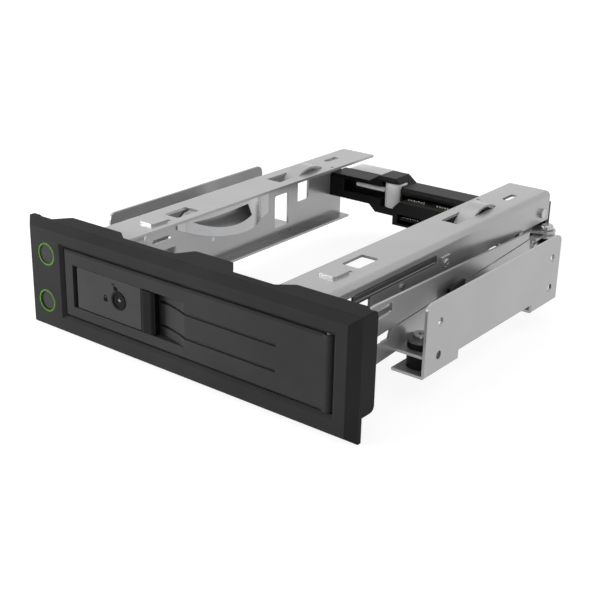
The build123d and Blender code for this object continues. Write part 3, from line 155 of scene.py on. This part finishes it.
def sheet_metal(name, color, rough, stretch=(420.0, 9.0, 420.0), depth=0.000006,
                metallic=0.5, edge=0.0001, spec=0.5):
    """Plated metal: faint rolling lines or grain, soft clouding, and a painted highlight that
    lightens the colour along cut edges.
    """
    mat, tree, shader = new_material(name)
    lines = noise(tree, coordinates(tree, stretch), 1.0, 4.0, 0.65)
    clouds = spread(tree, noise(tree, coordinates(tree), 26.0), 0.0, 1.0)
    edge_highlight, rounded = edge_mask(tree, edge)
    base = mix_colors(tree, clouds, scaled(color, 0.92), color)
    # Painted highlight: the colour is lightened along the edges
    tree.links.new(mix_colors(tree, edge_highlight, base, scaled(color, 1.15)),
                   shader.inputs["Base Color"])
    tree.links.new(spread(tree, lines, rough - 0.02, rough + 0.03), shader.inputs["Roughness"])
    tree.links.new(bump(tree, lines, 0.25, depth, rounded), shader.inputs["Normal"])
    shader.inputs["Metallic"].default_value = metallic
    shader.inputs["Specular IOR Level"].default_value = spec
    return mat


def paint_shade_beyond(mat, start, end, factor):
    """Paints shade on a plastic, darkening it by the factor where the object's X passes from
    start to end.
    """
    tree = mat.node_tree
    shader = next(node for node in tree.nodes if node.type == "BSDF_PRINCIPLED")
    split = tree.nodes.new("ShaderNodeSeparateXYZ")
    tree.links.new(coordinates(tree), split.inputs["Vector"])
    beyond = spread(tree, split.outputs["X"], 0.0, 1.0, start, end)
    base = shader.inputs["Base Color"].links[0].from_socket
    tree.links.new(mix_colors(tree, beyond, base, (factor, factor, factor), "MULTIPLY"),
                   shader.inputs["Base Color"])
    return mat


def board(name, color):
    """Circuit board: lacquer over a faint weave with copper tracks under it."""
    mat, tree, shader = new_material(name)
    vector = coordinates(tree)
    brick = tree.nodes.new("ShaderNodeTexBrick")
    brick.inputs["Scale"].default_value = 240.0
    brick.inputs["Mortar Size"].default_value = 0.03
    brick.inputs["Color1"].default_value = (*color, 1)
    brick.inputs["Color2"].default_value = (*scaled(color, 1.25), 1)
    brick.inputs["Mortar"].default_value = (*scaled(color, 1.9), 1)
    tree.links.new(vector, brick.inputs["Vector"])
    tree.links.new(brick.outputs["Color"], shader.inputs["Base Color"])
    fine = noise(tree, vector, 1500.0)
    tree.links.new(bump(tree, fine, 0.2, 0.00003), shader.inputs["Normal"])
    tree.links.new(spread(tree, fine, 0.22, 0.34), shader.inputs["Roughness"])
    return mat


EVEN_GRAIN = (300.0, 300.0, 300.0)
materials = {
    "bezel_black": plastic("bezel_black", (0.027, 0.027, 0.0274), 0.5, spec=0.03),
    "door_grey": plastic("door_grey", (0.0325, 0.0325, 0.0329), 0.48, spec=0.05),
    # The latch's grip bar is painted darker than its plate, as painted shade for the dark its
    # rounded faces reflect
    "latch_grey": paint_shade_beyond(plastic("latch_grey", (0.042, 0.042, 0.0425), 0.45),
                                start=-0.0154, end=-0.0151, factor=0.1),
    "ring_green": plastic("ring_green", (0.035, 0.10, 0.014), 0.3, grain=900.0),
    "button_grey": plastic("button_grey", (0.035, 0.035, 0.035), 0.35, grain=1600.0),
    "board_green": board("board_green", (0.01, 0.09, 0.03)),
    "sheet_steel": sheet_metal("sheet_steel", (0.47, 0.47, 0.474), 0.24),
    "spring_steel": sheet_metal("spring_steel", (0.5, 0.5, 0.51), 0.18,
                                stretch=(60.0, 9.0, 60.0), depth=0.000004, metallic=0.85,
                                edge=0.00005),
    "fastener_steel": sheet_metal("fastener_steel", (0.5, 0.5, 0.5), 0.25,
                                  stretch=EVEN_GRAIN, metallic=0.9),
    "rubber_black": plastic("rubber_black", (0.016, 0.016, 0.016), 0.62, grain=1500.0,
                            depth=0.00006, highlight_lift=1.8),
    "plastic_black": plastic("plastic_black", (0.007, 0.007, 0.0072), 0.4, spec=0.12),
    "plastic_white": plastic("plastic_white", (0.95, 0.95, 0.945), 0.4, grain=1400.0,
                             depth=0.00002, highlight_lift=1.05, spec=0.3),
    "lock_steel": sheet_metal("lock_steel", (0.010, 0.010, 0.0105), 0.3,
                              stretch=EVEN_GRAIN, metallic=0.15, spec=0.05),
    "contact_brass": sheet_metal("contact_brass", (0.7, 0.64, 0.5), 0.22,
                                 stretch=EVEN_GRAIN, metallic=1.0),
}
# Nodes whose finish differs from the rest of their slot
own_material = {
    "damper_washers": sheet_metal("washer_grey", (0.15, 0.15, 0.152), 0.3,
                                  stretch=EVEN_GRAIN, metallic=0.4, spec=0.2),
}
node_slot = {subpart["node"]: subpart["material_slot"]
             for subpart in frame["record"]["subparts"]}
for node_name, node_obj in frame["nodes"].items():
    node_mat = own_material.get(node_name, materials[node_slot[node_name]])
    if node_obj.material_slots:
        for material_slot in node_obj.material_slots:
            material_slot.material = node_mat
    else:
        node_obj.data.materials.append(node_mat)


# Added pieces, with lengths in mm


def add_mesh(name, bm, mat, body):
    """Turns the bmesh into a piece that rides on a body, with the given material."""
    bmesh.ops.recalc_face_normals(bm, faces=bm.faces)
    mesh = bpy.data.meshes.new(name)
    bm.to_mesh(mesh)
    bm.free()
    obj = bpy.data.objects.new(name, mesh)
    bpy.context.scene.collection.objects.link(obj)
    obj.data.materials.append(mat)
    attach(obj, body)


def skin(bm, rings):
    """Faces between each ring of vertices and the next one."""
    for first, second in zip(rings, rings[1:]):
        for i in range(len(first)):
            j = (i + 1) % len(first)
            bm.faces.new((first[i], first[j], second[j], second[i]))


def skin_and_cap(bm, rings):
    """Closed shape through the rings, with a face over the first and the last one."""
    skin(bm, rings)
    bm.faces.new(rings[0])
    bm.faces.new(rings[-1])


def arc(cx, cz, radius, start, end, steps=10):
    """Points (x, z) of an arc between two angles in degrees."""
    return [(cx + radius * cos(radians(start + (end - start) * i / steps)),
             cz + radius * sin(radians(start + (end - start) * i / steps)))
            for i in range(steps + 1)]


def circle(cu, cv, radius, steps):
    """Points (u, v) of a closed circle."""
    return [(cu + radius * cos(2 * pi * i / steps), cv + radius * sin(2 * pi * i / steps))
            for i in range(steps)]


PRINT_THICKNESS = 0.05
RING_THICKNESS = 0.04


def print_plate(name, outlines, depth, body, mat):
    """Thin raised print on a face that looks along -Y, from outlines of (x, z) points."""
    bm = bmesh.new()
    for points in outlines:
        skin_and_cap(bm, [[bm.verts.new(place(x, level, z)) for x, z in points]
                          for level in (depth, depth - PRINT_THICKNESS)])
    add_mesh(name, bm, mat, body)


def padlock(cx, cz, size, opened):
    """Outlines of a padlock sign: its body and its bow, which stands aside when opened."""
    half = 0.42 * size
    top = cz + 0.12 * size
    body = [(cx - half, cz - 0.5 * size), (cx + half, cz - 0.5 * size),
            (cx + half, top), (cx - half, top)]
    bow_x = cx + (-0.5 * size if opened else 0.0)
    bow_z = cz + 0.3 * size
    outside, inside = 0.32 * size, 0.18 * size
    foot = cz + (0.22 if opened else 0.12) * size
    bow = ([(bow_x - outside, foot)] + arc(bow_x, bow_z, outside, 180, 0)
           + [(bow_x + outside, top), (bow_x + inside, top)]
           + arc(bow_x, bow_z, inside, 0, 180) + [(bow_x - inside, foot)])
    return [body, bow]


def ring_plate(name, cx, cz, inner, outer, depth, body, mat):
    """Thin flat ring on a face that looks along -Y."""
    raised = depth - RING_THICKNESS
    bm = bmesh.new()
    rings = []
    for radius, level in ((inner, depth), (outer, depth), (outer, raised), (inner, raised)):
        rings.append([bm.verts.new(place(x, level, z))
                      for x, z in circle(cx, cz, radius, 48)])
    skin(bm, rings + rings[:1])
    add_mesh(name, bm, mat, body)


def stepped_plate(name, levels, y_range, z_range, body, mat):
    """Plate across the X axis, from levels of (x, inset from the outline)."""
    (y0, y1), (z0, z1) = y_range, z_range
    bm = bmesh.new()
    rings = []
    for x, inset in levels:
        corners = ((y0 + inset, z0 + inset), (y1 - inset, z0 + inset),
                   (y1 - inset, z1 - inset), (y0 + inset, z1 - inset))
        rings.append([bm.verts.new(place(x, y, z)) for y, z in corners])
    skin_and_cap(bm, rings)
    add_mesh(name, bm, mat, body)


def rimmed_plate(name, x, thickness, y_range, z_range, body, mat):
    """Plate with a softened rim on a wall at x; with a negative thickness it faces -X."""
    rim = 0.2
    shoulder = x + thickness * (1 - rim / abs(thickness))
    levels = ((x, 0.0), (shoulder, 0.0), (x + thickness, rim))
    stepped_plate(name, levels, y_range, z_range, body, mat)


def turned(name, profile, y, z, body, mat):
    """Round piece whose axis looks along +X, from (x, radius) pairs."""
    bm = bmesh.new()
    rings = [[bm.verts.new(place(x, u, v)) for u, v in circle(y, z, radius, 32)]
             for x, radius in profile]
    skin_and_cap(bm, rings)
    add_mesh(name, bm, mat, body)


# Signs on the latch, the mark on the key lock and the lines round the two light rings
SIGN_SIZE = 2.2
SIGN_DEPTH = 0.6
LOCK_FACE_DEPTH = 1.2
print_dark = plastic("print_dark", (0.006, 0.006, 0.006), 0.5, grain=1200.0, spec=0.02)
print_light = plastic("print_light", (0.3, 0.3, 0.3), 0.4, grain=1200.0)
line_green = plastic("line_green", (0.12, 0.27, 0.05), 0.35, grain=1200.0)
print_plate("sign_unlocked", padlock(-27.4, 25.8, SIGN_SIZE, opened=True), SIGN_DEPTH,
            "latch", print_dark)
print_plate("sign_locked", padlock(-32.6, 20.5, SIGN_SIZE, opened=False), SIGN_DEPTH,
            "latch", print_dark)
triangle = arc(-26.0, 21.35, 1.7, 90, 450, steps=3)[:3]
print_plate("lock_mark", [triangle], LOCK_FACE_DEPTH, "lock", print_light)
for ring_name, (ring_x, ring_z) in (("activity_ring_line", (-62.5, 30.0)),
                                    ("reset_ring_line", (-63.4, 11.7))):
    ring_plate(ring_name, ring_x, ring_z, inner=3.86, outer=4.08, depth=0.0, body="cage",
               mat=line_green)

# Dark sheets in the long windows of the rails' walls, painted shade where the windows look
# into the shadowed inside, each with a shallow pressed field
SHADE_SHEET_BACK, SHADE_SHEET_FACE, SHADE_SHEET_FIELD = 51.06, 51.94, 51.7
painted_shade_steel = sheet_metal("painted_shade_steel", (0.16, 0.16, 0.162), 0.22)
for shade_sheet_name, side in (("right_wall_painted_shade", 1), ("left_wall_painted_shade", -1)):
    shade_sheet_levels = ((SHADE_SHEET_BACK * side, 0.0), (SHADE_SHEET_FACE * side, 0.0),
                    (SHADE_SHEET_FACE * side, 0.9), (SHADE_SHEET_FIELD * side, 1.25))
    stepped_plate(shade_sheet_name, shade_sheet_levels, y_range=(29.8, 80.7), z_range=(31.1, 35.0),
                  body="cage", mat=painted_shade_steel)

# Tab on the right rail's outer wall, and strips of the bezel behind the gap at the door's
# right end and along its top
for plate_name, plate_slot, plate_x, thickness, y_range, z_range in (
        ("wall_tab", "sheet_steel", 51.98, 0.6, (82.6, 88.8), (28.0, 33.2)),
        ("door_side_stop", "bezel_black", 65.45, -1.15, (4.95, 5.9), (7.95, 34.45)),
        ("door_top_stop", "bezel_black", 48.0, 17.0, (6.5, 7.3), (31.8, 34.45))):
    rimmed_plate(plate_name, plate_x, thickness, y_range, z_range, "cage",
                 materials[plate_slot])

# Screw in the rail's tab
screw_head = ((52.5, 1.5), (52.9, 1.5), (53.2, 1.2), (53.3, 0.7), (53.0, 0.6))
turned("wall_tab_screw", screw_head, y=85.7, z=30.6, body="cage",
       mat=materials["fastener_steel"])


# Floor and lights, in metres


def looked_at(tree):
    """1 for rays from the camera and for reflected and refracted ones, 0 for the others."""
    rays = tree.nodes.new("ShaderNodeLightPath")
    value = rays.outputs["Is Camera Ray"]
    for kind in ("Is Glossy Ray", "Is Transmission Ray"):
        larger = tree.nodes.new("ShaderNodeMath")
        larger.operation = "MAXIMUM"
        tree.links.new(value, larger.inputs[0])
        tree.links.new(rays.outputs[kind], larger.inputs[1])
        value = larger.outputs["Value"]
    return value


def softbox(name, location, target, size, power):
    """Square area light at a place, aimed at a target."""
    light = bpy.data.lights.new(name, "AREA")
    light.shape = "RECTANGLE"
    light.size = size
    light.size_y = size
    light.energy = power
    obj = bpy.data.objects.new(name, light)
    bpy.context.scene.collection.objects.link(obj)
    obj.location = location
    aim = Vector(target) - Vector(location)
    obj.rotation_euler = aim.to_track_quat("-Z", "Y").to_euler()


# The floor looks white but for shadows, and lights the part as a pale floor does
FLOOR_SIZE = 4.0
FLOOR_GAP = 0.0003
FLOOR_SEEN_GREY = 0.42
FLOOR_SEEN_GLOW = 0.8
floor_mat, floor_tree, floor_shader = new_material("floor_white")
floor_noise = noise(floor_tree, coordinates(floor_tree), 3.0)
floor_seen = looked_at(floor_tree)
floor_pale = mix_colors(floor_tree, floor_noise, (0.93, 0.93, 0.93), (0.95, 0.95, 0.95))
floor_tree.links.new(mix_colors(floor_tree, floor_seen, floor_pale, (FLOOR_SEEN_GREY,) * 3),
                     floor_shader.inputs["Base Color"])
floor_shader.inputs["Emission Color"].default_value = (1, 1, 1, 1)
floor_tree.links.new(spread(floor_tree, floor_seen, 0.0, FLOOR_SEEN_GLOW, 0.0, 1.0),
                     floor_shader.inputs["Emission Strength"])
floor_shader.inputs["Roughness"].default_value = 0.9
floor_shader.inputs["Specular IOR Level"].default_value = 0.1
floor_bm = bmesh.new()
bmesh.ops.create_grid(floor_bm, x_segments=2, y_segments=2, size=FLOOR_SIZE)
floor_mesh = bpy.data.meshes.new("floor")
floor_bm.to_mesh(floor_mesh)
floor_bm.free()
floor = bpy.data.objects.new("floor", floor_mesh)
floor.location = (0, 0, -FLOOR_GAP)
floor.data.materials.append(floor_mat)
bpy.context.scene.collection.objects.link(floor)

softbox("key", location=(-0.5, -0.52, 0.13), target=(-0.05, -0.09, 0.02), size=0.45,
        power=7.0)
softbox("top", location=(0.0, 0.15, 1.1), target=(0, 0, 0), size=1.2, power=1.6)

# The world looks white, and its light fades from the horizon to the zenith
HORIZON_LIGHT, ZENITH_LIGHT = 1.0, 0.35
world = bpy.data.worlds.new("studio")
bpy.context.scene.world = world
world.use_nodes = True
world_tree = world.node_tree
world_tree.nodes.clear()
world_out = world_tree.nodes.new("ShaderNodeOutputWorld")
shown = world_tree.nodes.new("ShaderNodeBackground")
lit = world_tree.nodes.new("ShaderNodeBackground")
for background in (shown, lit):
    background.inputs["Color"].default_value = (1.0, 1.0, 1.0, 1)
shown.inputs["Strength"].default_value = 1.0
direction = world_tree.nodes.new("ShaderNodeTexCoord")
height = world_tree.nodes.new("ShaderNodeSeparateXYZ")
world_tree.links.new(direction.outputs["Generated"], height.inputs["Vector"])
world_tree.links.new(spread(world_tree, height.outputs["Z"], HORIZON_LIGHT, ZENITH_LIGHT,
                            0.1, 0.6), lit.inputs["Strength"])
choice = world_tree.nodes.new("ShaderNodeMixShader")
world_tree.links.new(looked_at(world_tree), choice.inputs["Fac"])
world_tree.links.new(lit.outputs["Background"], choice.inputs[1])
world_tree.links.new(shown.outputs["Background"], choice.inputs[2])
world_tree.links.new(choice.outputs["Shader"], world_out.inputs["Surface"])

# Camera: its place in metres, its angles, and its focal length and centre in pixels
CAMERA_PLACE = (0.246008, -0.344408, 0.172292)
azimuth, elevation, roll = radians(40.232), radians(21.663), radians(0.201)
FRAME_PIXELS = 600
FOCAL_PIXELS = 1154.84
CENTRE_X, CENTRE_Y = 242.681, 290.886
SENSOR_MM = 36.0
forward = Vector((-sin(azimuth) * cos(elevation), cos(azimuth) * cos(elevation),
                  -sin(elevation)))
level = Vector((cos(azimuth), sin(azimuth), 0))
upward = level.cross(forward)
right = level * cos(roll) + upward * sin(roll)
up = upward * cos(roll) - level * sin(roll)
camera_data = bpy.data.cameras.new("camera")
camera_data.sensor_width = SENSOR_MM
camera_data.lens = FOCAL_PIXELS / FRAME_PIXELS * SENSOR_MM
camera_data.shift_x = (FRAME_PIXELS / 2 - CENTRE_X) / FRAME_PIXELS
camera_data.shift_y = (CENTRE_Y - FRAME_PIXELS / 2) / FRAME_PIXELS
camera_data.clip_start = 0.01
camera = bpy.data.objects.new("camera", camera_data)
bpy.context.scene.collection.objects.link(camera)
rotation = Matrix((right, up, -forward)).transposed().to_4x4()
camera.matrix_world = Matrix.Translation(CAMERA_PLACE) @ rotation
bpy.context.scene.camera = camera
bpy.context.scene.view_settings.view_transform = "Standard"
